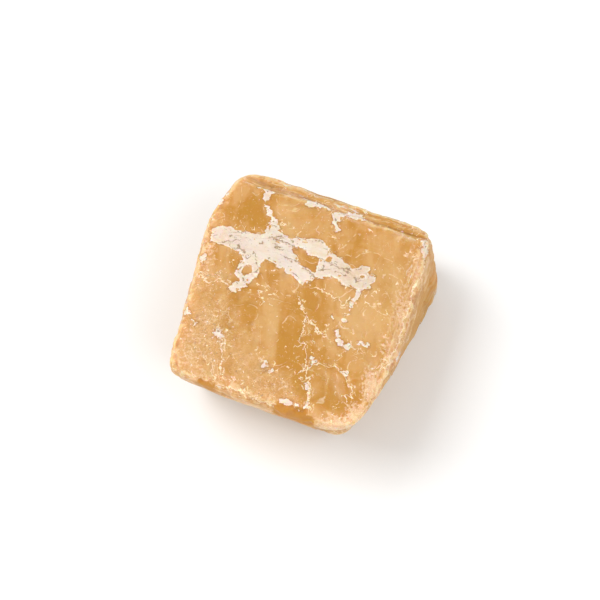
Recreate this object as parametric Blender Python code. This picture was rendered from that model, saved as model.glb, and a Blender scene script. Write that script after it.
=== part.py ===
"""Champagne calcite: one loose cleavage block with worn edges, lying on a cleavage face.

Run it with blender --background --python part.py, or from the text editor.
Metres, +Z up. The base lies on z = 0 and the origin is under the middle of the block.
The block is a leaning box of six cleavage faces. Knocked-off corners, cleavage steps along the
edges, shell-shaped scoops and pits are cut from it, and wear rounds what is left.
"""

import math
import random

import bmesh
import bpy
import numpy as np
from mathutils import Vector, noise

MM = 0.001

# Flat faces: the compass angle and the pitch of the outward normal in degrees, and the distance
# from the middle of the block. The four sides lean, so each has a pitch.
HEIGHT = 21.5 * MM
FACES = {
    "top": (0.0, 90.0, HEIGHT / 2),
    "base": (0.0, -90.0, HEIGHT / 2 + 0.35 * MM),
    "front": (-110.3, -15.0, 19.7 * MM),
    "back": (69.7, 15.0, 17.2 * MM),
    "right": (-17.5, 6.6, 19.9 * MM),
    "left": (166.2, -6.6, 15.8 * MM),
}

# Corners and edges that are knocked off flat, given in the same way.
CHIPS = {
    "back left corner": (147.0, 0.0, 18.6 * MM),
    "back left corner, rear": (112.0, 4.0, 21.4 * MM),
    "back right corner": (26.0, 6.0, 22.9 * MM),
    "front right corner": (-76.0, -12.0, 24.1 * MM),
    "front left corner": (-155.0, -10.0, 23.7 * MM),
    "lower front right corner": (-36.0, -15.0, 18.8 * MM),
    "back shoulder": (69.7, 62.0, 15.9 * MM),
    "front shoulder": (-110.3, 38.0, 23.9 * MM),
}

# Cleavage steps. Material is gone where it lies within every one of these depths of these faces,
# or between the two depths where there are two. The first face named keeps a flat floor, and the
# step breaks off ragged towards the others.
STEPS = (
    {"top": 0.5 * MM, "back": 3.6 * MM, "left": (-3.0 * MM, 21.0 * MM)},
    {"top": 1.4 * MM, "back": 2.0 * MM},
    {"top": 0.4 * MM, "right": 2.2 * MM, "back": (6.0 * MM, 22.0 * MM)},
    {"right": 0.55 * MM, "base": 15.0 * MM, "back": (7.0 * MM, 60.0 * MM)},
    {"right": 1.1 * MM, "base": 8.5 * MM, "back": (10.0 * MM, 60.0 * MM)},
    {"front": 0.5 * MM, "base": 16.0 * MM, "right": (9.0 * MM, 60.0 * MM)},
    {"front": 1.0 * MM, "base": 9.5 * MM, "right": (14.0 * MM, 60.0 * MM)},
    {"front": 1.5 * MM, "base": 4.0 * MM},
    {"back": 0.6 * MM, "base": 14.0 * MM, "right": 19.0 * MM},
    {"back": 1.2 * MM, "base": 7.0 * MM, "right": 27.0 * MM},
    {"left": 0.6 * MM, "base": 12.0 * MM, "back": 18.0 * MM},
    {"left": 1.2 * MM, "base": 5.5 * MM, "back": 28.0 * MM},
)

# How ragged a step's break is. A narrow step breaks off straighter, in step with its width.
BREAK_SIZES = (8.0 * MM, 2.4 * MM)
BREAK_DEPTHS = (2.4 * MM, 0.7 * MM)
FULL_BREAK = 9.0 * MM

# Shell-shaped scoops: where the middle of each one lies, its radius across and its depth.
SCOOPS = (
    ((-7.6 * MM, 14.2 * MM, HEIGHT), 5.0 * MM, 0.55 * MM),
    ((8.0 * MM, 10.2 * MM, HEIGHT), 4.6 * MM, 0.45 * MM),
    ((1.2 * MM, -9.0 * MM, HEIGHT), 6.0 * MM, 0.35 * MM),
    ((15.5 * MM, -2.0 * MM, HEIGHT), 4.5 * MM, 0.40 * MM),
)

# The smooth lump in the front right corner of the top.
LUMP = ((8.4 * MM, -17.5 * MM, HEIGHT), 4.6 * MM, 0.45 * MM)

# Small pits in the front left part of the top: their field, and the smallest and the largest
# radius. Their depth is a share of it.
PITS = 22
PIT_FIELD = (-19.0 * MM, -2.0 * MM, -18.0 * MM, 3.0 * MM)
PIT_RADII = (0.5 * MM, 1.2 * MM)
PIT_DEPTH = 0.18

# Wear: the radius that it gives a square edge, and a crisper one for steps and scoops. A soft
# edge's sharpness is ROUNDING over its radius.
WORN_EDGE = 1.3 * MM
CRISP_EDGE = 0.5 * MM
ROUNDING = 2.37

# Broad swells of the worn surface, and ripples on them.
SWELL_SIZES = (7.0 * MM, 2.6 * MM)
SWELL_HEIGHTS = (0.22 * MM, 0.12 * MM)

# Each layer of noise is read from its own place.
NOISE_SHIFT = (3.1, 5.7, 8.3)

# Grid cells along the block's width, depth and height. The surface is searched for between two
# shares of the way out to the leaning box, and then thinned to TRIANGLES.
CELLS = (76, 76, 42)
SEARCH_SHARES = (0.5, 1.2)
SEARCH_STEPS = 30
TRIANGLES = 9400

HONEY = (0.72, 0.40, 0.13, 1.0)
WAXY = 0.42


def start_empty():
    """Removes what the opened scene holds."""
    for thing in list(bpy.data.objects):
        bpy.data.objects.remove(thing)


def direction(compass, pitch):
    """A unit vector from its angle round +Z and its angle above the horizon, in degrees."""
    turn, rise = math.radians(compass), math.radians(pitch)
    flat = math.cos(rise)
    return np.array([math.cos(turn) * flat, math.sin(turn) * flat, math.sin(rise)])


def middle():
    """The middle of the block, from which the distances of its faces are measured."""
    return np.array([0.0, 0.0, HEIGHT / 2])


def beyond(points, plane):
    """How far the points lie outside one plane."""
    compass, pitch, distance = plane
    return (points - middle()) @ direction(compass, pitch) - distance


def corner(*names):
    """The point where three of the flat faces meet."""
    normals = np.array([direction(*FACES[name][:2]) for name in names])
    distances = np.array([FACES[name][2] for name in names])
    return middle() + np.linalg.solve(normals, distances)


def soft_max(values, edge):
    """The largest of some distances, rounded where they meet, as wear rounds an edge."""
    sharpness = ROUNDING / edge
    largest = np.max(values, axis=0)
    return largest + np.log(np.sum(np.exp(sharpness * (values - largest)), axis=0)) / sharpness


def bowl(points, centre, radius, depth):
    """How far the points lie inside a ball that dips to one depth under its rim."""
    ball = (radius**2 + depth**2) / (2 * depth)
    heart = np.array(centre) + np.array([0.0, 0.0, ball - depth])
    return ball - np.linalg.norm(points - heart, axis=1)


def pits():
    """Where the small pits are, with their radius and depth, always the same."""
    chance = random.Random(11)
    left, right, front, back = PIT_FIELD
    found = []
    for _ in range(PITS):
        centre = (chance.uniform(left, right), chance.uniform(front, back), HEIGHT)
        radius = chance.uniform(*PIT_RADII)
        found.append((centre, radius, radius * PIT_DEPTH))
    return found


def roughness(points, sizes, heights):
    """Smooth noise at each point: the sum of one layer for each size and height."""
    total = np.zeros(len(points))
    for layer, (size, height) in enumerate(zip(sizes, heights)):
        shift = Vector(NOISE_SHIFT) * (layer + 1)
        total += [height * noise.noise(Vector(point) / size + shift) for point in points]
    return total


def bump(points, centre, radius, height):
    """A round rise that fades out at its radius."""
    away = np.linalg.norm(points - np.array(centre), axis=1) / radius
    return height * np.clip(1.0 - away**2, 0.0, 1.0) ** 2


def notch(points, step, ragged):
    """How far the points lie inside one cleavage step."""
    inside = []
    for name, depth in step.items():
        shallow, deep = depth if isinstance(depth, tuple) else (None, depth)
        past = beyond(points, FACES[name])
        if inside:
            past = past + ragged * min(1.0, deep / FULL_BREAK)
        inside.append(past + deep)
        if shallow is not None:
            inside.append(-past - shallow)
    return np.min(inside, axis=0)


def outside(points, raised, ragged):
    """How far the points lie outside the stone, with its surface raised by some heights."""
    flats = [beyond(points, plane) for plane in (*FACES.values(), *CHIPS.values())]
    cuts = [soft_max(np.array(flats), WORN_EDGE) - raised]
    for step in STEPS:
        cuts.append(notch(points, step, ragged))
    for centre, radius, depth in (*SCOOPS, *pits()):
        cuts.append(bowl(points, centre, radius, depth))
    return soft_max(np.array(cuts), CRISP_EDGE)


def gridded_cube():
    """A cube whose corners are at 0 and 1, with its faces cut into CELLS."""
    mesh = bmesh.new()
    bmesh.ops.create_cube(mesh, size=1.0)
    bmesh.ops.translate(mesh, verts=mesh.verts, vec=(0.5, 0.5, 0.5))
    for axis, cells in enumerate(CELLS):
        along = [e for e in mesh.edges if abs(e.verts[0].co[axis] - e.verts[1].co[axis]) > 1e-6]
        bmesh.ops.subdivide_edges(mesh, edges=along, cuts=cells - 1, use_grid_fill=True)
    return mesh


def leaning(cube):
    """Turns points of the cube into points of the leaning box."""
    box = np.zeros_like(cube)
    for level, high in (("base", 0), ("top", 1)):
        for depth, far in (("front", 0), ("back", 1)):
            for side, right in (("left", 0), ("right", 1)):
                share = np.abs(1 - high - cube[:, 2]) * np.abs(1 - far - cube[:, 1])
                share = share * np.abs(1 - right - cube[:, 0])
                box += share[:, None] * corner(level, depth, side)
    return box


def carve(box):
    """Moves each point along its line from the middle until it lies on the stone's surface."""
    lines = box - middle()
    raised = roughness(box, SWELL_SIZES, SWELL_HEIGHTS) + bump(box, *LUMP)
    ragged = roughness(box, BREAK_SIZES, BREAK_DEPTHS)
    near = np.full(len(box), SEARCH_SHARES[0])
    far = np.full(len(box), SEARCH_SHARES[1])
    for _ in range(SEARCH_STEPS):
        share = (near + far) / 2
        out = outside(middle() + lines * share[:, None], raised, ragged) > 0.0
        far = np.where(out, share, far)
        near = np.where(out, near, share)
    return middle() + lines * near[:, None]


def settle(points):
    """Flattens the base onto z = 0 and puts the origin under the middle of the block."""
    points[:, 2] = np.maximum(points[:, 2], 0.0)
    centre = (points.min(axis=0) + points.max(axis=0)) / 2
    points[:, :2] -= centre[:2]
    return points


def honey_calcite():
    """The stone's plain colour and its waxy sheen."""
    material = bpy.data.materials.new("champagne_calcite")
    material.use_nodes = True
    shader = material.node_tree.nodes["Principled BSDF"]
    shader.inputs["Base Color"].default_value = HONEY
    shader.inputs["Roughness"].default_value = WAXY
    material.diffuse_color = HONEY
    return material


def main():
    start_empty()
    mesh = gridded_cube()
    mesh.verts.ensure_lookup_table()
    points = settle(carve(leaning(np.array([vert.co[:] for vert in mesh.verts]))))
    for vert, point in zip(mesh.verts, points):
        vert.co = point
    data = bpy.data.meshes.new("calcite_block")
    mesh.to_mesh(data)
    mesh.free()
    data.shade_smooth()
    data.materials.append(honey_calcite())
    block = bpy.data.objects.new("calcite_block", data)
    bpy.context.scene.collection.objects.link(block)
    thin = block.modifiers.new("thin", "DECIMATE")
    four_sided = len(data.polygons)
    thin.ratio = TRIANGLES / (2 * four_sided)


main()
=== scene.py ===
# %% [markdown]
# # Dressing a champagne calcite
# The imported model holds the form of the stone: a leaning cleavage block, its ledges and its worn
# edges, in one plain solid. What it lacks is everything smaller than a millimetre and everything
# inside the stone: thin lifted flakes, hairline cracks, pits, layers, and light that sinks into
# cloudy honey. This lesson adds them in order: a dense skin, its relief, one layered material,
# and a plain white studio.

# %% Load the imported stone
import math

import bmesh
import bpy
import numpy as np
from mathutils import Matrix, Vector, noise


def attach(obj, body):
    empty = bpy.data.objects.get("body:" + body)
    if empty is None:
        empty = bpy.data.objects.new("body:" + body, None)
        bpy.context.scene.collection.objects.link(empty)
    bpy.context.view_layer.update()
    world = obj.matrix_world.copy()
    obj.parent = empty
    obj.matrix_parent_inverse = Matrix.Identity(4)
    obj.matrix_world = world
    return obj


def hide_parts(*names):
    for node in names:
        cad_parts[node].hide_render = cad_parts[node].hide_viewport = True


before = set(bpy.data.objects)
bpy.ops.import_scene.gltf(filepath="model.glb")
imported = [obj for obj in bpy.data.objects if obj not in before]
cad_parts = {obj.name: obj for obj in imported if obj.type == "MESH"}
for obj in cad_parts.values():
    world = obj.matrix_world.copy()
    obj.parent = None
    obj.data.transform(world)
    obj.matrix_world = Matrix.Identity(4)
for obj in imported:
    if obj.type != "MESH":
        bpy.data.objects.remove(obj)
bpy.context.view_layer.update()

MM = 0.001
NODE = "calcite_block"

# %% [markdown]
# ## The skin
# The CAD solid is thinned to fewer than ten thousand triangles of all sizes. Relief needs small
# faces of one size, so a copy of it is merged, wrapped in voxels about a quarter of a millimetre
# wide, and smoothed a few times. Copying it, and not drawing the stone again, keeps the skin on the
# solid.

# %% Copy the solid and wrap it in voxels
VOXEL = 0.27 * MM
MERGE_WITHIN = 0.001 * MM
SMOOTH_PASSES = 5
SMOOTH_SHARE = 0.5


def merged_copy(node, name):
    """A new object with the node's mesh, its loose triangles joined."""
    work = bmesh.new()
    work.from_mesh(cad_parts[node].data)
    bmesh.ops.remove_doubles(work, verts=work.verts, dist=MERGE_WITHIN)
    mesh = bpy.data.meshes.new(name)
    work.to_mesh(mesh)
    work.free()
    piece = bpy.data.objects.new(name, mesh)
    bpy.context.scene.collection.objects.link(piece)
    return piece


def apply_modifiers(piece):
    """Keeps what the modifiers make as the piece's own mesh."""
    graph = bpy.context.evaluated_depsgraph_get()
    made = bpy.data.meshes.new_from_object(piece.evaluated_get(graph))
    piece.modifiers.clear()
    piece.data = made


def smoothed(piece, passes, share):
    """Relaxes the piece's points towards their neighbours."""
    work = bmesh.new()
    work.from_mesh(piece.data)
    for _ in range(passes):
        bmesh.ops.smooth_vert(
            work, verts=work.verts, factor=share, use_axis_x=True, use_axis_y=True, use_axis_z=True
        )
    work.to_mesh(piece.data)
    work.free()


stone = merged_copy(NODE, "calcite_stone")
wrap = stone.modifiers.new("wrap", "REMESH")
wrap.mode = "VOXEL"
wrap.voxel_size = VOXEL
apply_modifiers(stone)
smoothed(stone, SMOOTH_PASSES, SMOOTH_SHARE)
print("Skin:", len(stone.data.vertices), "points,", len(stone.data.polygons), "faces")

# %% Read the skin's points
def read(piece, what):
    """One vector for each of the piece's points: its co or its normal."""
    flat = np.empty(len(piece.data.vertices) * 3, np.float32)
    piece.data.vertices.foreach_get(what, flat)
    return flat.reshape(-1, 3).astype(float)


points = read(stone, "co") / MM
facing = read(stone, "normal")
TOP = float(points[:, 2].max())
print("Top at", round(TOP, 2), "mm")

# %% [markdown]
# ## Where things are on the stone
# A few shapes on the top face are what make this stone this one: the lifted pale flakes, the amber
# lobe in one corner, the deep middle, the pitted front left. Each is an outline or a point in
# millimetres, seen from above. Distances to them drive both the relief and the paint, and noise in
# the shader frays their edges, so each outline needs only the points that its shape has.

# %% Outlines of the lifted flakes, in millimetres
# The flakes are whole patches. The splinters are small pieces, which noise breaks up further.
FLAKES = {
    "west band": (
        (-15.6, 9.7), (-14.2, 10.2), (-11.6, 9.7), (-9.6, 8.9), (-7.4, 8.5), (-6.7, 9.4), (-5.3, 9.7),
        (-4.2, 8.9), (-4.6, 7.8), (-5.9, 7.6), (-3.8, 7.1), (-2.7, 6.5), (-2.4, 5.3), (-1.3, 3.8),
        (0.0, 2.2), (1.0, 1.1), (-0.6, -0.1), (-0.9, -0.7), (-1.7, 0.8), (-3.2, 1.9), (-4.3, 2.7),
        (-5.7, 3.6), (-6.7, 4.1), (-7.5, 3.2), (-8.1, 1.5), (-9.9, -0.2), (-11.5, -1.4),
        (-12.4, -0.8), (-11.9, 0.1), (-10.8, 0.8), (-11.8, 1.7), (-11.3, 2.7), (-10.4, 3.9),
        (-10.7, 5.1), (-12.5, 5.9), (-13.6, 6.6), (-15.6, 7.5),
    ),
    "east branch": (
        (-4.9, 8.4), (-3.8, 8.3), (-1.3, 8.0), (0.4, 7.5), (2.0, 7.7), (3.6, 6.6), (3.7, 5.3), (6.0, 3.8),
        (7.2, 2.7), (8.7, 3.1), (10.0, 2.9), (9.6, 1.9), (11.1, 0.6), (9.9, 0.0), (9.8, -0.8),
        (7.7, -1.1), (5.4, -0.2), (3.7, 0.8), (2.4, 1.3), (1.0, 1.1), (1.3, 2.2), (1.8, 4.2),
        (1.6, 4.8), (-0.8, 5.8), (-2.7, 6.5), (-4.4, 7.2),
    ),
}
SPLINTERS = {
    "spur": (
        (-4.6, 9.1), (-6.4, 9.6), (-5.9, 11.0), (-6.8, 12.7), (-7.4, 14.2), (-7.1, 14.8),
        (-5.8, 13.1), (-5.1, 11.4), (-4.6, 10.1),
    ),
    "star": (
        (-7.4, 14.4), (-6.8, 16.4), (-8.1, 17.4), (-6.5, 17.2), (-6.2, 18.4), (-6.0, 16.8),
        (-5.2, 16.4), (-6.3, 15.7), (-6.8, 14.2),
    ),
    "streak": ((-0.8, 15.2), (1.0, 14.9), (3.1, 14.0), (3.8, 13.0), (1.7, 13.6), (-0.3, 14.1)),
    "arch": (
        (4.2, 9.1), (3.8, 10.8), (4.1, 12.5), (5.2, 13.1), (7.2, 13.2), (8.7, 12.7), (9.6, 11.1),
        (9.1, 10.9), (8.0, 11.6), (6.7, 11.9), (5.4, 11.8), (4.9, 11.0), (5.0, 9.2),
    ),
    "corner": ((18.3, 8.0), (19.6, 8.4), (19.7, 5.7), (19.2, 3.9), (18.5, 4.4), (18.3, 6.3)),
    "chain 1": (
        (7.5, -0.9), (8.7, -0.9), (8.5, -2.0), (7.4, -3.4), (6.7, -5.5), (6.0, -5.9), (6.4, -3.8),
        (7.4, -2.0),
    ),
    "chain 2": ((6.0, -5.3), (5.3, -5.6), (4.8, -7.4), (5.3, -7.6), (5.8, -6.4)),
    "chain 3": ((4.3, -7.9), (4.8, -7.8), (5.4, -10.0), (4.8, -10.2)),
    "chain 4": ((5.7, -10.3), (6.3, -10.0), (6.8, -10.6), (6.4, -11.3), (5.9, -11.0)),
    "chain 5": ((7.1, -9.8), (8.1, -10.1), (8.1, -10.5), (7.2, -10.3)),
    "chain 6": ((8.4, -10.0), (9.7, -10.5), (9.5, -11.0), (8.5, -10.6)),
    "chain 7": ((3.7, -0.9), (4.3, -1.3), (3.9, -2.6), (3.4, -2.2)),
    "chain 8": ((3.6, -5.2), (4.1, -5.3), (4.3, -6.6), (3.8, -6.4)),
    "west star": (
        (-14.2, -7.6), (-13.7, -8.6), (-13.1, -9.1), (-13.9, -10.0), (-14.4, -9.0), (-15.0, -8.5),
    ),
    "foot": ((-4.5, -19.3), (-2.8, -19.6), (-1.4, -20.5), (-1.6, -20.9), (-3.3, -20.4), (-4.5, -19.9)),
}
print(len(FLAKES), "flakes and", len(SPLINTERS), "splinters")

# %% Cracks, seams and glints, in millimetres
# A glint is a tiny star with a few points round a core, a painted highlight that gets the flakes'
# near-white paint and a little height. A hole is a gap in a flake.
CRACKS = {
    "west": ((-13.9, -9.6), (-13.7, -12.7), (-13.5, -15.7)),
    "far west": ((-16.2, -12.6), (-15.2, -14.2), (-14.6, -16.1)),
    "middle": ((-1.3, -2.7), (-0.3, -5.7), (-1.3, -8.6), (-0.3, -11.5), (0.0, -14.6), (0.0, -20.9)),
    "middle branch": ((-0.3, -5.7), (1.3, -7.4), (2.7, -8.8)),
    "round the lump": ((-1.3, -15.0), (0.6, -13.9), (2.7, -13.6), (4.7, -14.4), (5.9, -16.1), (6.5, -18.4)),
    "west ledge": ((-17.2, 1.1), (-15.6, 0.5), (-14.0, 0.7), (-12.6, 0.0)),
    "front ridge": ((-17.4, -16.0), (-13.7, -17.4), (-9.7, -18.7), (-6.4, -20.3), (-1.8, -21.4)),
    "right ridge": ((19.0, 7.0), (18.4, 2.8), (16.5, -1.8), (15.3, -6.1), (14.1, -10.4), (12.3, -15.0)),
    "east": ((9.9, 1.6), (8.0, -2.0), (5.6, -3.4), (3.4, -1.4), (1.2, -0.9)),
}
SEAMS = {
    "under the island": ((-3.8, 4.8), (-1.9, 4.0), (-0.8, 3.1), (0.2, 2.2), (1.0, 1.1)),
    "west": ((-13.8, 7.2), (-12.2, 7.4), (-11.2, 7.6)),
    "far west": ((-11.9, 9.0), (-10.1, 9.0)),
    "over the hub": ((-6.2, 8.0), (-4.1, 8.2)),
    "branch root": ((-5.4, 7.7), (-4.0, 7.3), (-2.7, 6.7), (-0.8, 6.0)),
    "east": ((1.6, 4.4), (4.2, 3.2), (6.4, 1.9)),
}
GLINTS = (
    (0.0, -17.5), (-0.3, -20.8), (5.8, -15.3), (0.9, -13.2), (-6.8, -13.6), (-6.1, -15.1),
    (-18.0, -6.7), (-19.2, -4.6), (-17.0, 4.4), (-13.1, 16.0), (-14.0, 14.6),
)
GLINT_RADIUS = 0.62
GLINT_CORE = 0.35
GLINT_POINTS = 3
GLINT_SHARPNESS = 3
HOLES = (((-9.7, 2.4), 0.7), ((-10.3, 2.0), 0.5), ((8.6, 1.2), 0.5), ((3.4, 4.2), 0.35))
print(len(CRACKS), "cracks,", len(SEAMS), "seams and", len(GLINTS), "glints")

# %% Zones of the paint and the relief, in millimetres
# Each zone has a middle, a reach along X and along Y, and a strength.
AMBER = (
    ((-9.3, 13.2), (3.3, 3.3), 0.85),
    ((-7.6, 11.2), (2.6, 2.4), 0.8),
    ((-2.2, -10.4), (3.0, 5.0), 1.8),
    ((-0.8, -15.8), (2.0, 3.4), 1.4),
    ((-0.4, -4.0), (4.6, 4.2), 1.1),
    ((2.0, -14.6), (3.2, 3.4), 1.0),
    ((6.8, 8.0), (3.6, 3.4), 0.35),
    ((0.3, 3.6), (1.8, 1.8), 0.9),
    ((3.6, -19.2), (3.8, 3.6), 1.05),
    ((-13.0, 3.8), (2.6, 3.0), 0.35),
    ((-10.6, -5.1), (3.0, 3.8), 0.95),
)
PALE = (
    ((9.8, -5.6), (5.2, 7.0), 0.9),
    ((-5.2, -7.0), (1.6, 6.5), 0.5),
    ((-2.0, 13.4), (4.2, 1.8), 0.7),
    ((-0.6, 9.4), (3.4, 1.8), 0.6),
    ((7.8, -14.2), (2.2, 1.8), 0.5),
    ((14.2, 0.0), (3.2, 7.0), 0.75),
    ((13.0, 6.5), (4.0, 3.0), 0.3),
    ((-16.0, 0.6), (2.4, 3.6), 0.3),
    ((-17.0, -6.0), (2.4, 5.0), 0.4),
    ((-16.4, -11.5), (3.6, 5.0), 0.3),
)
VEILED = (((7.6, 1.6), (4.0, 2.6), 0.9), ((-13.4, 8.4), (2.0, 2.0), 0.4), ((-9.0, 1.0), (2.4, 3.0), 0.4))
PITTED = (
    ((-14.5, -8.0), (6.0, 9.0), 1.0),
    ((-6.5, -17.6), (6.5, 3.0), 1.1),
    ((-10.0, -14.0), (6.0, 5.0), 0.6),
    ((-16.0, 0.0), (3.0, 4.5), 0.8),
)

# Clear windows in the rims, calm parts of the sides and rims rubbed to a pale frost also have a Z.
WINDOWS = (
    ((-3.8, -20.8, 20.6), (1.7, 1.3, 4.0), 1.2),
    ((-2.0, -21.9, 20.2), (1.9, 1.3, 4.0), 1.3),
    ((-0.5, -22.8, 19.6), (1.5, 1.2, 4.0), 1.1),
    ((-16.2, -16.8, 19.0), (2.6, 1.6, 3.4), 0.7),
)
CALM = (
    ((19.5, -1.0, 10.5), (5.0, 9.0, 8.0), 1.2),
    ((16.5, -11.0, 10.0), (4.5, 6.5, 7.5), 1.1),
    ((20.5, 6.5, 11.0), (4.0, 5.0, 8.0), 1.0),
)
FROST = (
    ((4.4, -23.6, 19.8), (3.2, 1.6, 3.4), 1.2),
    ((7.8, -22.2, 20.4), (2.2, 2.2, 3.4), 1.1),
    ((10.0, -17.6, 20.4), (1.8, 3.6, 3.4), 1.0),
    ((17.4, 2.4, 20.6), (1.5, 4.6, 3.0), 0.5),
    ((14.8, -5.0, 20.6), (1.6, 5.0, 3.0), 0.6),
    ((12.6, -11.5, 20.6), (1.6, 4.0, 3.0), 0.5),
    ((-11.6, -18.4, 21.2), (3.4, 0.9, 2.0), 0.2),
    ((-19.0, -12.0, 20.0), (3.0, 5.0, 3.0), 0.5),
    ((-16.5, 6.0, 20.0), (2.0, 6.0, 3.0), 0.6),
)

# The top's four edges, and how far in and how strongly layers show along each of them.
EDGES = (
    ("back", (-14.9, 22.6), (22.7, 8.7), 3.6, 1.0),
    ("right", (21.4, 11.2), (9.7, -26.0), 3.4, 1.0),
    ("front", (-25.8, -14.1), (11.3, -27.8), 2.0, 0.8),
    ("left", (-24.6, -21.4), (-13.2, 25.1), 1.4, 0.5),
)
print(len(AMBER), "amber zones and", len(PALE), "pale ones")

# %% Distances to outlines and lines
ZONE_END = 1.35


def to_segment(flat, start, end):
    """The distance from each flat point to one straight segment, negative on its right."""
    along = np.array(end) - np.array(start)
    from_start = flat - np.array(start)
    share = np.clip(from_start @ along / (along @ along), 0.0, 1.0)
    away = np.linalg.norm(from_start - share[:, None] * along, axis=1)
    return np.where(along[0] * from_start[:, 1] < along[1] * from_start[:, 0], -away, away)


def nearest(distances):
    """Of several signed distances to each point, the one nearest to zero."""
    distances = np.array(distances)
    return np.take_along_axis(distances, np.abs(distances).argmin(axis=0)[None], axis=0)[0]


def to_line(flat, corners):
    """The signed distance from each flat point to a line through some corners."""
    return nearest([to_segment(flat, a, b) for a, b in zip(corners, corners[1:])])


def inside(flat, outline):
    """Whether each flat point lies inside a closed outline."""
    crossings = np.zeros(len(flat), int)
    for (ax, ay), (bx, by) in zip(outline, outline[1:] + outline[:1]):
        spans = (ay > flat[:, 1]) != (by > flat[:, 1])
        rise = by - ay if by != ay else 1.0
        crossings += spans & (flat[:, 0] < ax + (flat[:, 1] - ay) * (bx - ax) / rise)
    return crossings % 2 == 1


def depth_in(flat, outline):
    """How deep each flat point lies inside an outline: negative outside."""
    away = np.abs(to_line(flat, outline + outline[:1]))
    return np.where(inside(flat, outline), away, -away)


def zone(places, spots):
    """A soft weight, which is each spot's strength in its middle and 0 from ZONE_END reaches on."""
    weight = np.zeros(len(places))
    for middle, reach, strength in spots:
        away = np.linalg.norm((places - np.array(middle)) / np.array(reach), axis=1)
        weight = np.maximum(weight, strength * np.clip(ZONE_END - away, 0.0, 1.0))
    return weight


def smoothstep(values, low, high):
    """0 below low, 1 above high and a smooth rise between them."""
    share = np.clip((values - low) / (high - low), 0.0, 1.0)
    return share * share * (3.0 - 2.0 * share)


# %% Measure each point against them
FAR = 3.0
TOP_FACING = (0.25, 0.6)

plan = points[:, :2]
on_top = smoothstep(facing[:, 2], *TOP_FACING)
flake_depth = np.max([depth_in(plan, outline) for outline in FLAKES.values()], axis=0)
for middle, radius in HOLES:
    flake_depth = np.minimum(flake_depth, np.linalg.norm(plan - np.array(middle), axis=1) - radius)
splinter_depth = np.max([depth_in(plan, outline) for outline in SPLINTERS.values()], axis=0)
glint_depth = np.full(len(points), -FAR)
for number, middle in enumerate(GLINTS):
    away = plan - np.array(middle)
    turn = np.arctan2(away[:, 1], away[:, 0])
    ray = np.abs(np.cos(0.5 * GLINT_POINTS * turn + number)) ** GLINT_SHARPNESS
    star = GLINT_RADIUS * (GLINT_CORE + (1.0 - GLINT_CORE) * ray)
    glint_depth = np.maximum(glint_depth, star - np.linalg.norm(away, axis=1))
crack_side = nearest([to_line(plan, line) for line in CRACKS.values()])
crack_side = np.where(on_top > 0.5, np.clip(crack_side, -FAR, FAR), FAR)
seam_side = nearest([to_line(plan, line) for line in SEAMS.values()])
seam_side = np.where(on_top > 0.5, np.clip(seam_side, -FAR, FAR), FAR)
amber = zone(plan, AMBER) * on_top
pale = zone(plan, PALE) * on_top
pitted = zone(plan, PITTED) * on_top
veiled = zone(plan, VEILED) * on_top
window = zone(points, WINDOWS)
calm = zone(points, CALM)
frost = zone(points, FROST)
inwards = np.array([np.abs(to_line(plan, (start, end))) for _, start, end, _, _ in EDGES])
rind = inwards.min(axis=0)
reach_in = np.array([reach for *_, reach, _ in EDGES])[inwards.argmin(axis=0)]
showing = np.array([strength for *_, strength in EDGES])[inwards.argmin(axis=0)]
print("Share of points on the top:", round(float((on_top > 0.5).mean()), 3))

# %% [markdown]
# ## Relief
# Calcite parts along flat planes, so its small relief is made of thin steps: layers on the sides,
# terraces and lifted flakes on the top. Rubbing adds what steps don't have: pits, nibbled edges and
# a faint orange peel. Displacing points is better here than a bump in the shader alone, because
# steps and pits then show on the outline and in the exported mesh.

# %% Noise at the skin's points
# Each seed reads the noise from another place, this far from the one before.
SEED_SHIFT = (7.3, 3.1, 5.9)


def shift_of(seed):
    """How far one seed shifts the places where noise is read."""
    return Vector([seed * part for part in SEED_SHIFT])


def noise_of(places, seed=0):
    """Smooth noise from -1 to 1 at some places, with features about 1 across."""
    shift = shift_of(seed)
    return np.array([noise.noise(Vector(place) + shift) for place in places])


def noise_at(size, seed, stretch=(1.0, 1.0, 1.0)):
    """Smooth noise at each point of the skin, with features of one size in millimetres."""
    return noise_of(points / (size * np.array(stretch)), seed)


def waves(parts, seed):
    """The sum of some noises at each point of the skin, each with its size and its height."""
    return sum(height * noise_at(size, seed + number) for number, (size, height) in enumerate(parts))


def to_middles(spacing, seed):
    """The distance from each point of the skin to the nearest of scattered middles."""
    shift = shift_of(seed)
    found = [noise.voronoi(Vector(place) + shift)[0][0] for place in points / spacing]
    return np.array(found) * spacing


# %% [markdown]
# ## Where the stone is worn
# Handling rubs a stone on its edges first. They could be marked by hand, but the solid has them in
# their places already, so they are measured: a point on an edge stands out of the smoothed
# neighbourhood round it, a point in a hollow lies behind it, and a point on a flat does neither.

# %% Worn edges of the skin
EDGE_PASSES = 40
EDGE_FULL = 0.3


def neighbourhood(places, passes):
    """The points after many rounds of averaging with their neighbours."""
    ends = np.empty(len(stone.data.edges) * 2, np.int32)
    stone.data.edges.foreach_get("vertices", ends)
    one, other = ends.reshape(-1, 2).T
    count = np.bincount(one, minlength=len(places)) + np.bincount(other, minlength=len(places))
    for _ in range(passes):
        total = np.empty_like(places)
        for axis in range(3):
            total[:, axis] = np.bincount(one, weights=places[other, axis], minlength=len(places))
            total[:, axis] += np.bincount(other, weights=places[one, axis], minlength=len(places))
        places = total / count[:, None]
    return places


def standing_out(places, passes):
    """How far each point stands out of its smoothed neighbourhood, in millimetres."""
    return np.sum((places - neighbourhood(places, passes)) * facing, axis=1)


worn = np.clip(standing_out(points, EDGE_PASSES) / EDGE_FULL, 0.0, 1.0)
print("Share of worn edge:", round(float((worn > 0.5).mean()), 3))

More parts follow.
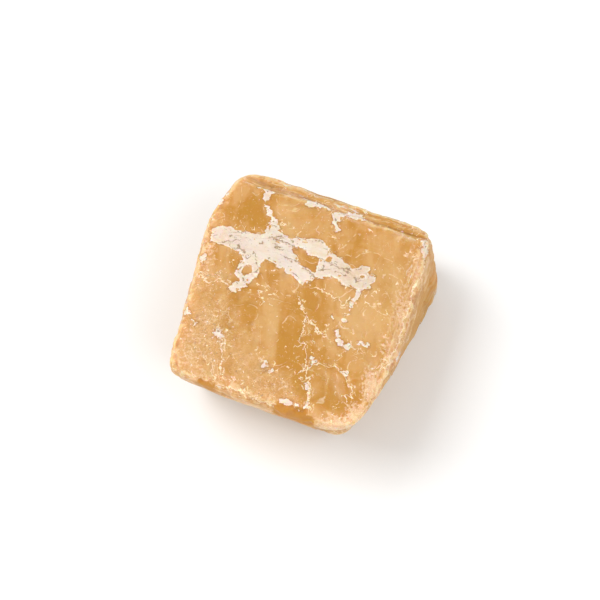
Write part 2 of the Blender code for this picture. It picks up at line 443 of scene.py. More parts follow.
# %% [markdown]
# ## Layers and blocks
# The layers on the sides are the broken ends of cleavage planes that run level through the block. A
# stack of modelled slabs would look too even. So the level of each point is counted in layers, and
# each layer stands out or back a little and wears down towards its lower edge. The thin ones lie in
# groups, with plain stretches between them. Across the layers run the other two cleavage planes, so
# each layer is also parted into blocks.

# %% Layers and blocks on the slopes
# Each entry of LAYERS is a thickness, how much a layer wears back towards its lower edge and how far
# it stands out or back. Each entry of a wave is a size and a height. BLOCK is a width and a height.
SLOPE = (0.1, 0.45)
LAYERS = ((5.5, 0.05, 0.22), (2.1, 0.06, 0.16), (0.8, 0.08, 0.06))
LEVEL_WAVE = ((9.0, 0.6), (2.4, 0.12))
LAYER_REACH = 8.0
LAYER_APART = 5.3
GROUP_SIZE = 6.0
GROUP_STRETCH = (1.5, 1.5, 0.7)
GROUP_EDGE = (-0.05, 0.2)
BLOCK = (7.5, 3.8)
BLOCK_DEPTH = 0.13
BLOCK_WAVE = ((5.0, 0.7), (1.5, 0.2))
WAYS_APART = 9.0
CLEAVAGE_WAYS = (-17.5, -110.3)


def tell_relief(step):
    """Prints how far in and how far out the relief goes so far."""
    print(step, "in mm:", round(float(relief.min()), 2), "to", round(float(relief.max()), 2))


level = points[:, 2] + waves(LEVEL_WAVE, 0)
side = smoothstep(1.0 - np.abs(facing[:, 2]), *SLOPE)
grouped = smoothstep(noise_at(GROUP_SIZE, 17, GROUP_STRETCH), *GROUP_EDGE)
relief = np.zeros(len(points))
for seed, (thickness, tooth, offset) in enumerate(LAYERS):
    layer, share = np.divmod(level / thickness, 1.0)
    stands = noise_of(np.column_stack([plan / LAYER_REACH, layer * LAYER_APART + seed]))
    amount = side if seed == 0 else side * grouped
    relief += amount * (offset * stands + tooth * (0.5 - share))

ways = [np.array([math.cos(math.radians(way)), math.sin(math.radians(way))]) for way in CLEAVAGE_WAYS]
along_ways = [plan @ way for way in ways]
faces_first = np.abs(facing[:, :2] @ ways[0]) > np.abs(facing[:, :2] @ ways[1])
across = np.where(faces_first, along_ways[1], along_ways[0])
across += waves(BLOCK_WAVE, 25)
blocks = np.column_stack([across / BLOCK[0], level / BLOCK[1], faces_first * WAYS_APART])
relief += side * BLOCK_DEPTH * (np.array([noise.cell(Vector(block)) for block in blocks]) - 0.5)
tell_relief("Layers and blocks")

# %% Layers along the top's edges
# The same layers come out along the top's edges, so one coordinate counts them over both: the way
# in from the edge on the top, and a share of the way down on the sides.
DOWN_SHARE = 0.35
LAMELLA_WAVE = ((7.0, 0.35), (1.6, 0.1))
FULL_SHARE = 0.45
LEDGE_REACH = 9.0
LEDGE_WIDTH = 0.7
LEDGE_EDGE = 0.08
LEDGE_HEIGHT = 0.12

lamella = rind - DOWN_SHARE * (TOP - level) + waves(LAMELLA_WAVE, 33)
banded = np.maximum(side, showing * (1.0 - smoothstep(rind, FULL_SHARE * reach_in, reach_in)))
ledges = noise_of(np.column_stack([plan / LEDGE_REACH, lamella / LEDGE_WIDTH]))
relief += banded * (1.0 - side) * LEDGE_HEIGHT * smoothstep(ledges, -LEDGE_EDGE, LEDGE_EDGE)
tell_relief("With the ledges")

# %% [markdown]
# ## Terraces, chips, flakes and pits
# The top is one cleavage plane, but it isn't flat: it drops by hair-thin terraces, its edges are
# nibbled, thin flakes have lifted from it, and its rubbed part is pitted. All of these are steps with
# a crisp border, so each one is a noise or a distance that is cut off at some level. Cutting them
# into the mesh one by one would take long and give nothing more.

# %% Terraces on the top
TERRACE_WAVE = ((6.0, 1.0), (1.6, 0.12))
TERRACES_PER_SWELL = 3.0
TERRACE_HEIGHT = 0.06

terrace = TERRACES_PER_SWELL * waves(TERRACE_WAVE, 3)
relief += (1.0 - side) * TERRACE_HEIGHT * np.round(terrace)
tell_relief("With the terraces")

# %% A swell by the back right corner
# The solid's corner is knocked off straight there, and the stone's is a little fuller.
SWELL = (((20.8, 11.6, 7.0), (3.4, 2.6, 7.5), 1.0),)
SWELL_HEIGHT = 0.7

relief += SWELL_HEIGHT * smoothstep(zone(points, SWELL), 0.0, 1.0)
tell_relief("With the swell")

# %% Chips along the edges
# Each kind of chip has a size and a depth.
CHIPS = ((2.6, 0.2), (1.1, 0.12))
CHIP_EDGE = (0.05, 0.22)

for seed, (size, depth) in enumerate(CHIPS):
    chip = smoothstep(noise_at(size, 20 + seed), *CHIP_EDGE)
    relief -= depth * chip * worn
tell_relief("With the chips")

# %% Lifted flakes, seams and cracks
# Noise breaks the splinters' outlines, and frays the edges of flakes and cracks.
FLAKE_HEIGHT = 0.08
FLAKE_EDGE = 0.12
SEAM_DEPTH = 0.08
SEAM_WIDTH = (0.05, 0.3)
CRACK_DEPTH = 0.07
CRACK_WIDTH = (0.05, 0.35)
FRAY = ((0.8, 0.22), (2.2, 0.25))
SPLINTER_BREAKS = ((1.0, 0.32), (0.45, 0.256))
SPLINTER_LOSS = 0.12

ragged = waves(FRAY, 5)
splinter_depth += waves(SPLINTER_BREAKS, 41) - SPLINTER_LOSS
# The glints, which are painted highlights, join the flakes here.
flake_depth = np.maximum(flake_depth, np.maximum(splinter_depth, glint_depth))
flake_depth = np.where(on_top > 0.5, np.clip(flake_depth, -FAR, FAR), -FAR)
print("Share of points under a flake:", round(float((flake_depth > 0).mean()), 3))
relief += FLAKE_HEIGHT * smoothstep(flake_depth + ragged, -FLAKE_EDGE, FLAKE_EDGE)
relief -= SEAM_DEPTH * (1.0 - smoothstep(np.abs(seam_side), *SEAM_WIDTH))
relief -= CRACK_DEPTH * (1.0 - smoothstep(np.abs(crack_side + ragged), *CRACK_WIDTH))
tell_relief("With flakes, seams and cracks")

# %% Pits and orange peel
# Each kind of pit has a spacing, a radius and a depth. A few of them lie outside the pitted zones.
PITS = ((1.5, 0.34, 0.12), (0.8, 0.2, 0.08))
PIT_FLOOR = 0.3
PITS_ANYWHERE = 0.06
PEEL = ((1.3, 0.02), (0.6, 0.008))
PITTED_PEEL = (0.6, 0.02)

for seed, (spacing, radius, depth) in enumerate(PITS):
    near = to_middles(spacing, 8 + seed)
    strength = PITS_ANYWHERE + (1.0 - PITS_ANYWHERE) * pitted
    relief -= depth * strength * (1.0 - smoothstep(near, PIT_FLOOR * radius, radius))
relief += waves(PEEL, 11) + pitted * waves((PITTED_PEEL,), 12)
tell_relief("Whole relief")

# %% Move the points
# The base stays flat, so that the stone lies as the solid does, and nothing leaves the CAD box far.
BASE_CLEAR = 0.4
off_base = smoothstep(points[:, 2], 0.0, BASE_CLEAR)
moved = points + facing * (relief * off_base)[:, None]
moved[:, 2] = np.maximum(moved[:, 2], 0.0)
stone.data.vertices.foreach_set("co", (moved * MM).astype(np.float32).ravel())
stone.data.shade_smooth()
stone.data.update()
print("Highest point in mm:", round(float(moved[:, 2].max()), 2))

# %% Rims and hollows of the finished relief
# The paint lightens what stands out, a painted highlight, and darkens what lies back, a painted shade.
RIM_PASSES = 7
RIM_FULL = 0.09

standing = standing_out(moved, RIM_PASSES)
rim = np.clip(standing / RIM_FULL, 0.0, 1.0)
hollow = np.clip(-standing / RIM_FULL, 0.0, 1.0)
print("Share of rim and of hollow:", round(float(rim.mean()), 3), round(float(hollow.mean()), 3))

# %% Keep the weights on the mesh for the paint
# Each one is a number for each point, which the material reads by its name.
WEIGHTS = {
    "flake_depth": flake_depth, "crack_side": crack_side, "seam_side": seam_side,
    "amber": amber, "pale": pale, "pitted": pitted, "veiled": veiled,
    "window": window, "calm": calm, "frost": frost,
    "side": side, "worn": worn, "rim": rim, "hollow": hollow,
    "lamella": lamella, "banded": banded, "terrace": terrace,
}
for name, values in WEIGHTS.items():
    kept = stone.data.attributes.new(name, "FLOAT", "POINT")
    kept.data.foreach_set("value", values.astype(np.float32))
print("Weights:", [kept.name for kept in stone.data.attributes if kept.name[0] != "."])

# %% [markdown]
# ## The honey
# Champagne calcite is cloudy. Light goes in, scatters among tiny fractures and comes back warm, and
# thin edges glow. Glass-like transmission would show the floor through it, which this stone doesn't,
# so the shader is a Principled one with subsurface scattering. Its colour is built in layers, from
# what lies deep to what lies on the skin: honey and amber, cloud, windows, grain, layers, worn edges,
# cracks, pits, and last the lifted flakes. Every noise here goes from 0 to 1 and is mostly between
# 0.3 and 0.7, so the two numbers of a rise or a speckle say how much of the stone gets a feature and
# how soft its border is.

# %% A short way to write nodes
class Paint:
    """Adds shader nodes to one material. A socket given as a value is linked, anything else is set."""

    def __init__(self, name):
        self.material = bpy.data.materials.new(name)
        self.material.use_nodes = True
        self.tree = self.material.node_tree
        self.shader = self.tree.nodes["Principled BSDF"]

    def tell(self, step):
        """Prints how many nodes the material has after a step."""
        print(step + ":", len(self.tree.nodes), "nodes so far")

    def set(self, socket, given):
        """Links the socket to another one, or gives it a value."""
        if isinstance(given, bpy.types.NodeSocket):
            self.tree.links.new(given, socket)
        else:
            socket.default_value = given

    def add(self, kind, inputs, output=0, **settings):
        """One new node with these inputs and settings. It gives back one of its outputs."""
        node = self.tree.nodes.new(kind)
        for name, setting in settings.items():
            setattr(node, name, setting)
        for name, given in inputs.items():
            self.set(node.inputs[name], given)
        return node.outputs[output]

    def math(self, operation, *values):
        """A sum, a product or the like."""
        return self.add("ShaderNodeMath", dict(enumerate(values)), operation=operation)

    def rise(self, value, low, high, bottom=0.0, top=1.0):
        """A smooth rise from bottom to top as the value goes from low to high."""
        inputs = {"Value": value, "From Min": low, "From Max": high, "To Min": bottom, "To Max": top}
        return self.add("ShaderNodeMapRange", inputs, interpolation_type="SMOOTHSTEP")

    def mix(self, share, one, other):
        """One colour, turned towards the other by a share."""
        return self.add("ShaderNodeMix", {0: share, 6: one, 7: other}, output=2, data_type="RGBA")

    def blend(self, share, one, other):
        """One number, turned towards the other by a share."""
        return self.add("ShaderNodeMix", {0: share, 2: one, 3: other}, data_type="FLOAT")

    def sway(self, value, amount):
        """A noise that goes from 0 to 1, turned into a push of up to some amount either way."""
        return self.rise(value, 0.3, 0.7, -amount, amount)

    def noise(self, where, scale, detail=3.0, rough=0.55, bent=0.0):
        """Noise whose scale counts features along a millimetre."""
        inputs = {"Vector": where, "Scale": scale, "Detail": detail, "Roughness": rough}
        return self.add("ShaderNodeTexNoise", {**inputs, "Distortion": bent})

    def lines(self, value, width):
        """1 along the line where the value crosses zero, 0 beyond its width."""
        return self.rise(self.math("ABSOLUTE", value), 0.3 * width, width, 1.0, 0.0)

    def cells(self, where, scale, feature="F1", output="Distance"):
        """Cells round scattered middles: the distance to the middle or the border, or a colour each."""
        return self.add("ShaderNodeTexVoronoi", {"Vector": where, "Scale": scale}, output, feature=feature)

    def weight(self, name):
        """A weight that is kept on the mesh."""
        return self.add("ShaderNodeAttribute", {}, "Fac", attribute_name=name)

    def stretched(self, where, sizes, turn=0.0):
        """Coordinates in which a feature has these sizes in millimetres along the turned axes."""
        inputs = {"Vector": where, "Scale": sizes, "Rotation": (0.0, 0.0, math.radians(turn))}
        return self.add("ShaderNodeMapping", inputs, vector_type="TEXTURE")

    def speckle(self, value, low, high, share):
        """A share where the value is high, with a soft start."""
        return self.math("MULTIPLY", self.rise(value, low, high), share)


# %% Colours of the stone, as linear red, green and blue
HONEY = (0.545, 0.258, 0.047, 1.0)
LIGHT_HONEY = (0.590, 0.320, 0.095, 1.0)
AMBER_DEEP = (0.495, 0.228, 0.017, 1.0)
WINDOW_AMBER = (0.475, 0.210, 0.014, 1.0)
SIDE_AMBER = (0.50, 0.226, 0.025, 1.0)
CLOUD = (0.615, 0.365, 0.132, 1.0)
CREAM = (0.77, 0.58, 0.36, 1.0)
WORN = (0.69, 0.445, 0.26, 1.0)
FLAKE = (0.73, 0.635, 0.545, 1.0)
FLAKE_DIM = (0.68, 0.53, 0.39, 1.0)
VEIN = (0.88, 0.74, 0.54, 1.0)
# Near-white for painted glints: tiny bright spots, and the bright line along the flakes' borders.
PAINTED_GLINT_WHITE = (0.86, 0.78, 0.68, 1.0)
HAIR_BROWN = (0.33, 0.215, 0.12, 1.0)
# Brown for gaps, dark lines and pits, and for the painted shade in hollows and beside the flakes.
GAP_BROWN_AND_SHADE = (0.37, 0.165, 0.035, 1.0)

# %% Honey, amber and cloud
# Broken planes inside the stone part it into cells, each of its own tone. Cloud hangs in columns.
BAND_TURN = -19.5

paint = Paint("champagne_calcite")
place = paint.add("ShaderNodeTexCoord", {}, 3)
where = paint.add("ShaderNodeVectorMath", {0: place, "Scale": 1.0 / MM}, operation="SCALE")
broad = paint.noise(where, 0.13, 3.0)
middling = paint.noise(where, 0.42, 3.0, 0.5, 0.8)
fine = paint.noise(where, 2.2, 3.0, 0.6)
grainy = paint.noise(where, 5.0, 3.0, 0.65)
columns = paint.noise(paint.stretched(where, (1.9, 9.0, 3.3)), 1.0, 3.0, 0.45)
push = paint.add("ShaderNodeTexNoise", {"Vector": where, "Scale": 0.5, "Detail": 3.0}, "Color")
bent = paint.add("ShaderNodeVectorMath", {0: push, 1: (4.0, 4.0, 4.0), 2: where}, operation="MULTIPLY_ADD")
cell_tone = paint.add("ShaderNodeSeparateColor", {0: paint.cells(bent, 0.2, output="Color")})

deep = paint.math("ADD", paint.weight("amber"), paint.rise(broad, 0.45, 0.7, 0.0, 0.4))
deep = paint.math("ADD", deep, paint.sway(middling, 0.25))
deep = paint.math("ADD", deep, paint.rise(columns, 0.38, 0.62, 0.35, -0.3))
deep = paint.math("ADD", deep, paint.rise(cell_tone, 0.1, 0.9, -0.12, 0.12))
deep = paint.rise(deep, -0.05, 1.05, 0.0, 0.95)
colour = paint.mix(paint.rise(middling, 0.3, 0.7), LIGHT_HONEY, HONEY)
colour = paint.mix(deep, colour, AMBER_DEEP)
sided = paint.math("MULTIPLY", paint.weight("side"), paint.rise(broad, 0.35, 0.65, 0.2, 0.75))
colour = paint.mix(sided, colour, AMBER_DEEP)
not_amber = paint.rise(paint.weight("amber"), 0.1, 0.9, 1.0, 0.15)
cloudy = paint.math("ADD", paint.weight("pale"), paint.rise(columns, 0.46, 0.62, 0.0, 0.6))
cloudy = paint.math("MULTIPLY", cloudy, not_amber)
colour = paint.mix(cloudy, colour, CLOUD)
paint.tell("Honey, amber and cloud")

# %% [markdown]
# ## Windows and grain
# Where the real stone is smooth, the eye sees down into clear amber, and where it is rubbed dull, it
# sees only the broken surface. One texture all over would lose that difference. So the clear places
# are settled first, and all that lies on the surface is then kept out of them.

# %% Clear windows
# The windows stay free of all that follows on the sides and edges, and the calm parts mostly do.
clear = paint.math("ADD", paint.weight("window"), paint.sway(middling, 0.15))
clear = paint.rise(paint.math("ADD", clear, paint.sway(fine, 0.12)), 0.25, 0.6)
calm_here = paint.math("ADD", paint.weight("calm"), paint.sway(middling, 0.3))
calm_here = paint.rise(calm_here, 0.1, 0.7, 0.0, 0.85)
not_clear = paint.math("SUBTRACT", 1.0, paint.math("MAXIMUM", clear, calm_here))
pure = paint.math("MULTIPLY", clear, paint.rise(fine, 0.3, 0.7, 1.0, 0.75))
colour = paint.mix(calm_here, colour, SIDE_AMBER)
colour = paint.mix(pure, colour, WINDOW_AMBER)
paint.tell("Clear windows")

# %% Grain
# Where the stone is rubbed dull, it is speckled: cream crystal tips, brown gaps and dark dots.
dull = paint.math("ADD", paint.weight("pitted"), paint.rise(middling, 0.35, 0.65, 0.15, -0.25))
dull = paint.math("MULTIPLY", paint.rise(dull, 0.0, 1.0), not_amber)
dull = paint.math("MULTIPLY", dull, not_clear)
colour = paint.mix(paint.math("MULTIPLY", dull, 0.35), colour, CLOUD)
colour = paint.mix(paint.speckle(fine, 0.5, 0.72, paint.blend(dull, 0.05, 0.4)), colour, WORN)
colour = paint.mix(paint.speckle(fine, 0.48, 0.3, paint.blend(dull, 0.04, 0.35)), colour, GAP_BROWN_AND_SHADE)
colour = paint.mix(paint.speckle(grainy, 0.5, 0.7, paint.blend(dull, 0.03, 0.5)), colour, WORN)
colour = paint.mix(paint.speckle(grainy, 0.46, 0.3, paint.blend(dull, 0.05, 0.6)), colour, GAP_BROWN_AND_SHADE)
peppery = paint.speckle(paint.noise(where, 3.0, 1.0), 0.33, 0.27, paint.math("MULTIPLY", dull, 0.9))
colour = paint.mix(peppery, colour, HAIR_BROWN)
paint.tell("Grain")

# %% [markdown]
# ## Painted layers and worn edges
# The layers show as pale and amber bands with thin dark lines between them. Painted stripes of their
# own would cross the modelled steps, so they are read from the same coordinate, which is kept on the
# mesh. Rubbed edges are paler than the rest, and the measured wear says where they are.

# %% Layers along the edges and on the sides
axes = [paint.add("ShaderNodeSeparateXYZ", {0: where}, axis) for axis in (0, 1)]
layered = paint.add("ShaderNodeCombineXYZ", {0: axes[0], 1: axes[1], 2: paint.weight("lamella")})
thick = paint.noise(paint.stretched(layered, (9.0, 9.0, 1.3)), 1.0, 2.0, 0.5)
thin = paint.noise(paint.stretched(layered, (6.0, 6.0, 0.36)), 1.0, 3.0, 0.6)
banded = paint.math("MULTIPLY", paint.weight("banded"), not_clear)
colour = paint.mix(paint.speckle(thick, 0.52, 0.62, paint.math("MULTIPLY", banded, 0.35)), colour, WORN)
colour = paint.mix(paint.speckle(thick, 0.5, 0.38, paint.math("MULTIPLY", banded, 0.6)), colour, AMBER_DEEP)
dark_lines = paint.speckle(thin, 0.44, 0.36, paint.math("MULTIPLY", banded, 0.4))
colour = paint.mix(dark_lines, colour, GAP_BROWN_AND_SHADE)
colour = paint.mix(paint.speckle(thin, 0.56, 0.61, paint.math("MULTIPLY", banded, 0.5)), colour, CREAM)
paint.tell("Painted layers")

# %% Worn edges, painted highlights on raised relief and painted shade in hollows
rubbed = paint.math("ADD", paint.weight("worn"), paint.sway(fine, 0.25))
rubbed = paint.math("ADD", rubbed, paint.sway(middling, 0.2))
rubbed = paint.math("MULTIPLY", paint.rise(rubbed, 0.45, 1.1, 0.0, 0.33), not_clear)
frosted = paint.math("ADD", paint.weight("frost"), paint.sway(fine, 0.4))
frosted = paint.math("MULTIPLY", paint.rise(frosted, 0.25, 0.8, 0.0, 0.9), not_clear)
edge = paint.math("MAXIMUM", rubbed, frosted)
colour = paint.mix(edge, colour, WORN)
# Cream where the relief stands out is a painted highlight; the cream specks on rubbed edges are wear.
raised_highlight = paint.math("MULTIPLY", paint.speckle(paint.weight("rim"), 0.4, 1.0, 0.45), not_clear)
bright = paint.math("ADD", raised_highlight, paint.math("MULTIPLY", edge, paint.rise(grainy, 0.45, 0.62)))
colour = paint.mix(bright, colour, CREAM)
# Brown where the relief lies back is painted shade.
low = paint.math("ADD", paint.weight("hollow"), paint.sway(fine, 0.2))
low = paint.math("MULTIPLY", paint.rise(low, 0.2, 1.0, 0.0, 0.36), not_clear)
colour = paint.mix(low, colour, GAP_BROWN_AND_SHADE)
paint.tell("Worn edges")

# %% [markdown]
# ## Veins, cracks, pits and painted glints
# Cracks in calcite are fine cream lines that wander and stop. A thin line is where a noise, or the
# distance to a drawn crack, passes zero, and a second noise breaks it up. The long ones that make
# this stone this one are drawn, and for the rest the right size and number are enough.

# %% Cream veins and cracks
curl = paint.math("SUBTRACT", paint.noise(where, 0.42, 2.5, 0.6, 1.2), 0.5)
small_curl = paint.math("SUBTRACT", paint.noise(where, 1.1, 1.5, 0.6, 1.0), 0.5)
broken = paint.rise(paint.noise(where, 0.9, 2.0), 0.5, 0.56)
veined = paint.rise(paint.noise(where, 0.2, 2.0), 0.5, 0.56)
vein = paint.math("MULTIPLY", paint.lines(curl, 0.02), paint.math("MULTIPLY", veined, broken))
squiggled = paint.math("MULTIPLY", paint.rise(paint.noise(where, 0.45, 2.0), 0.64, 0.7, 0.0, 0.6), not_amber)
squiggled = paint.math("ADD", squiggled, paint.rise(paint.weight("pitted"), 0.5, 1.0, 0.0, 0.4))
squiggle = paint.math("MULTIPLY", paint.lines(small_curl, 0.04), paint.math("MULTIPLY", squiggled, broken))
vein = paint.math("MAXIMUM", vein, paint.math("MULTIPLY", squiggle, 0.85))
wander = paint.rise(middling, 0.25, 0.75, -0.5, 0.5)
wander = paint.math("ADD", wander, paint.rise(fine, 0.25, 0.75, -0.22, 0.22))
crack_off = paint.math("ADD", paint.weight("crack_side"), wander)
crack = paint.math("MULTIPLY", paint.lines(crack_off, 0.15), paint.rise(fine, 0.36, 0.46, 0.15, 0.95))
beside = paint.lines(paint.math("SUBTRACT", crack_off, 0.5), 0.12)
beside = paint.math("MULTIPLY", beside, paint.math("MULTIPLY", broken, 0.7))
vein = paint.math("MAXIMUM", vein, paint.math("MAXIMUM", crack, beside))
step = paint.math("SUBTRACT", paint.math("FRACT", paint.weight("terrace")), 0.5)
step = paint.math("MULTIPLY", paint.lines(step, 0.045), paint.math("MULTIPLY", broken, 0.4))
step = paint.math("MULTIPLY", step, paint.math("SUBTRACT", 1.0, paint.weight("side")))
vein = paint.math("MULTIPLY", paint.math("MAXIMUM", vein, step), not_clear)
colour = paint.mix(vein, colour, VEIN)
paint.tell("Veins and cracks")

# %% Pits with pale rims
pits = paint.cells(where, 1.9)
pit_here = paint.rise(paint.noise(where, 0.8, 2.0), 0.42, 0.6)
pit_here = paint.math("MULTIPLY", pit_here, paint.rise(paint.weight("pitted"), 0.0, 0.7, 0.08, 0.9))
pit_rim = paint.math("MULTIPLY", paint.rise(pits, 0.12, 0.26, 0.5, 0.0), pit_here)
pit = paint.math("MULTIPLY", paint.rise(pits, 0.04, 0.12, 0.8, 0.0), pit_here)
colour = paint.mix(pit_rim, colour, WORN)
colour = paint.mix(pit, colour, GAP_BROWN_AND_SHADE)
paint.tell("Pits")

# %% Sparkles, painted as glints of light
# Tiny bright facets painted as glints of light, most of them where the stone is rubbed.
spots = paint.noise(where, 2.1, 2.0, 0.6)
spots = paint.math("ADD", spots, paint.rise(paint.math("MAXIMUM", edge, dull), 0.0, 1.0, -0.02, 0.03))
painted_glint = paint.math("MULTIPLY", paint.rise(spots, 0.695, 0.72), not_clear)
colour = paint.mix(painted_glint, colour, PAINTED_GLINT_WHITE)
paint.tell("Sparkles")

# %% [markdown]
# ## Paint of the lifted flakes
# A lifted flake has air under it, which makes it glossy and near-white. Its paint also has a bright
# line along its border, which is a painted highlight, a dark line beside it, which is painted shadow,
# and fine dark hairlines. An image of it would have to be drawn and mapped. The depth inside its
# outline is one number for each point, and it gives the flake, its painted highlight and its painted
# shadow together, so noise frays all three alike.

# %% Lifted flakes
fray = paint.math("ADD", paint.sway(fine, 0.1), paint.sway(grainy, 0.05))
strand = paint.noise(paint.stretched(where, (3.2, 0.7, 1.0), BAND_TURN), 1.0, 3.0, 0.6)
fray = paint.math("ADD", fray, paint.sway(strand, 0.22))
fray = paint.math("ADD", fray, paint.sway(middling, 0.28))
holes = paint.rise(paint.noise(where, 0.9, 3.0, 0.6), 0.62, 0.68, 0.0, 1.2)
depth = paint.math("SUBTRACT", paint.math("ADD", paint.weight("flake_depth"), fray), holes)
side_flakes = paint.noise(paint.stretched(layered, (4.5, 4.5, 0.8)), 1.0, 4.0, 0.6, 0.4)
side_flakes = paint.math("MULTIPLY", paint.rise(side_flakes, 0.63, 0.65), banded)
flake = paint.math("MAXIMUM", paint.rise(depth, -0.03, 0.06), side_flakes)
# A brown line just outside each flake's border is painted shadow beside the lifted edge.
under = paint.lines(paint.math("ADD", depth, 0.12), 0.16)
under = paint.math("MULTIPLY", under, paint.rise(middling, 0.4, 0.55))
colour = paint.mix(paint.math("MULTIPLY", under, 0.6), colour, GAP_BROWN_AND_SHADE)
paint.tell("Flakes")

# %% Hairlines, seams and tones of the flakes
# Hairlines are the borders of long cells, with parts of each border left out.
long_cells = paint.stretched(bent, (9.0, 1.6, 4.0), BAND_TURN)
hair = paint.rise(paint.cells(long_cells, 1.0, "DISTANCE_TO_EDGE"), 0.012, 0.05, 1.0, 0.0)
hair = paint.math("MULTIPLY", hair, paint.rise(paint.noise(where, 0.7, 2.0), 0.49, 0.56, 0.0, 0.9))
hair = paint.math("MULTIPLY", hair, paint.rise(depth, 0.1, 0.4))
dots = paint.rise(paint.noise(where, 3.4, 1.0), 0.25, 0.29, 0.6, 0.0)
seam_off = paint.math("ADD", paint.weight("seam_side"), paint.sway(fine, 0.2))
seam = paint.math("MULTIPLY", paint.lines(seam_off, 0.14), 0.8)
dim = paint.math("ADD", paint.rise(middling, 0.45, 0.7, 0.0, 0.35), paint.rise(strand, 0.48, 0.66, 0.0, 0.4))
dim = paint.math("ADD", dim, paint.math("MULTIPLY", paint.weight("veiled"), paint.rise(fine, 0.35, 0.6)))
flake_colour = paint.mix(dim, FLAKE, FLAKE_DIM)
# A near-white line just inside each flake's border is a painted highlight.
flake_edge_highlight = paint.lines(paint.math("SUBTRACT", depth, 0.14), 0.18)
flake_edge_highlight = paint.math("MULTIPLY", flake_edge_highlight, paint.rise(fine, 0.4, 0.6, 0.1, 0.75))
flake_colour = paint.mix(flake_edge_highlight, flake_colour, PAINTED_GLINT_WHITE)
flake_colour = paint.mix(paint.math("MAXIMUM", hair, dots), flake_colour, HAIR_BROWN)
flake_colour = paint.mix(seam, flake_colour, HAIR_BROWN)
colour = paint.mix(flake, colour, flake_colour)
paint.tell("Hairlines and tones of the flakes")

# %% [markdown]
# ## Gloss, and light inside the stone
# Calcite is waxy: deep amber is a little glossier than the rest, rubbed places are matt, and flakes
# shine most. The grain is finer than the skin's faces, so it is a bump. Subsurface scattering carries
# the light some millimetres through the stone, red furthest, which warms the thin edges.

# %% Gloss and fine bump
WAXY = (0.36, 0.5)
AMBER_GLOSS = 0.32
MATT = 0.55
FLAKE_GLOSS = 0.24
BUMP = {"Strength": 0.8, "Distance": 0.14 * MM}

matt_here = paint.math("MAXIMUM", edge, dull)
rough = paint.rise(fine, 0.3, 0.7, *WAXY)
rough = paint.blend(deep, rough, AMBER_GLOSS)
rough = paint.blend(paint.math("MAXIMUM", matt_here, calm_here), rough, MATT)
rough = paint.blend(paint.math("MAXIMUM", flake, painted_glint), rough, FLAKE_GLOSS)
grain = paint.math("ADD", paint.math("MULTIPLY", fine, 0.5), paint.math("MULTIPLY", grainy, 0.35))
height = paint.math("MULTIPLY", grain, paint.blend(matt_here, 0.12, 0.9))
height = paint.math("ADD", height, paint.math("MULTIPLY", vein, 0.3))
height = paint.math("SUBTRACT", height, paint.math("MULTIPLY", pit, 0.6))
height = paint.math("ADD", height, paint.math("MULTIPLY", flake, 0.5))
height = paint.math("SUBTRACT", height, paint.math("MULTIPLY", hair, 0.3))
height = paint.math("ADD", height, paint.math("MULTIPLY", paint.math("MULTIPLY", thin, banded), 1.2))
bumped = paint.add("ShaderNodeBump", {**BUMP, "Height": height})
paint.set(paint.shader.inputs["Base Color"], colour)
paint.set(paint.shader.inputs["Roughness"], rough)
paint.set(paint.shader.inputs["Normal"], bumped)
paint.tell("Gloss and bump")

# %% Scattering inside the stone
SCATTER = {
    "Subsurface Weight": 0.85,
    "Subsurface Radius": (1.0, 0.5, 0.16),
    "Subsurface Scale": 5.0 * MM,
    "IOR": 1.5,
}
for name, setting in SCATTER.items():
    paint.set(paint.shader.inputs[name], setting)
stone.data.materials.clear()
stone.data.materials.append(paint.material)
print("Material:", paint.material.name)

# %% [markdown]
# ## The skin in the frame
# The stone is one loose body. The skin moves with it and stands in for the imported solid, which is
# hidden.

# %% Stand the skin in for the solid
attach(stone, "root")
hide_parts(NODE)

# %% [markdown]
# ## The studio
# The photograph is high key: a white floor that almost glows, one large soft light from the left and
# a little behind, a weaker one from the front right, and a wide pale sky that fills the shadows. The
# camera looks down steeply from the front with a long lens, so the stone keeps its proportions.

# %% Floor
FLOOR_HALF = 1.2
FLOOR = {"Base Color": (0.86, 0.86, 0.855, 1.0), "Roughness": 0.8, "Specular IOR Level": 0.1}

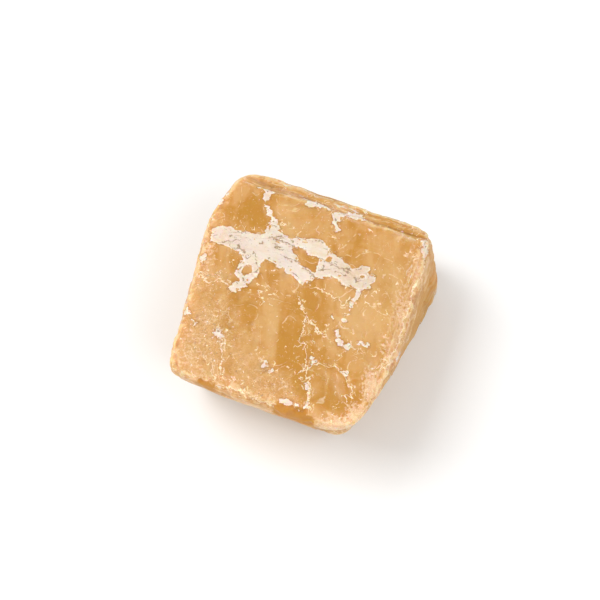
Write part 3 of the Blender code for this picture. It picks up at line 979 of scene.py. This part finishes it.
work = bmesh.new()
bmesh.ops.create_grid(work, x_segments=1, y_segments=1, size=FLOOR_HALF)
floor_mesh = bpy.data.meshes.new("floor")
work.to_mesh(floor_mesh)
work.free()
floor = bpy.data.objects.new("floor", floor_mesh)
bpy.context.scene.collection.objects.link(floor)
matt = Paint("white_floor")
for name, setting in FLOOR.items():
    matt.set(matt.shader.inputs[name], setting)
floor.data.materials.append(matt.material)
print("Floor width in m:", 2.0 * FLOOR_HALF)

# %% Lights
WHITE = (1.0, 1.0, 1.0, 1.0)
SKY = 0.66
KEY = {"from": (-0.66, 0.15, 1.08), "size": 0.7, "power": 9.7}
FILL = {"from": (0.56, -0.56, 0.99), "size": 0.8, "power": 5.2}


def area_light(name, setup):
    """A square soft light that faces the stone."""
    lamp = bpy.data.lights.new(name, "AREA")
    lamp.size = setup["size"]
    lamp.energy = setup["power"]
    holder = bpy.data.objects.new(name, lamp)
    bpy.context.scene.collection.objects.link(holder)
    holder.location = setup["from"]
    holder.rotation_mode = "QUATERNION"
    holder.rotation_quaternion = (-Vector(setup["from"])).to_track_quat("-Z", "Y")


area_light("key", KEY)
area_light("fill", FILL)
world = bpy.data.worlds.new("white_room")
bpy.context.scene.world = world
world.use_nodes = True
world.node_tree.nodes["Background"].inputs["Color"].default_value = WHITE
world.node_tree.nodes["Background"].inputs["Strength"].default_value = SKY
bpy.context.scene.view_settings.view_transform = "Standard"
print("Lights:", [light.name for light in bpy.data.lights])

# %% Camera
CAMERA_ELEVATION = math.radians(68.0)
CAMERA_DISTANCE = 330.0 * MM
LENS = 120.0
NEAR_LIMIT = 0.01
LOOKED_AT = Vector((-1.29 * MM, 1.63 * MM, 10.5 * MM))

towards_camera = Vector((0.0, -math.cos(CAMERA_ELEVATION), math.sin(CAMERA_ELEVATION)))
camera = bpy.data.objects.new("camera", bpy.data.cameras.new("camera"))
bpy.context.scene.collection.objects.link(camera)
camera.location = LOOKED_AT + towards_camera * CAMERA_DISTANCE
camera.rotation_mode = "QUATERNION"
camera.rotation_quaternion = (-towards_camera).to_track_quat("-Z", "Y")
camera.data.lens = LENS
camera.data.clip_start = NEAR_LIMIT
bpy.context.scene.camera = camera
print("Camera at", [round(place, 3) for place in camera.location], "m")
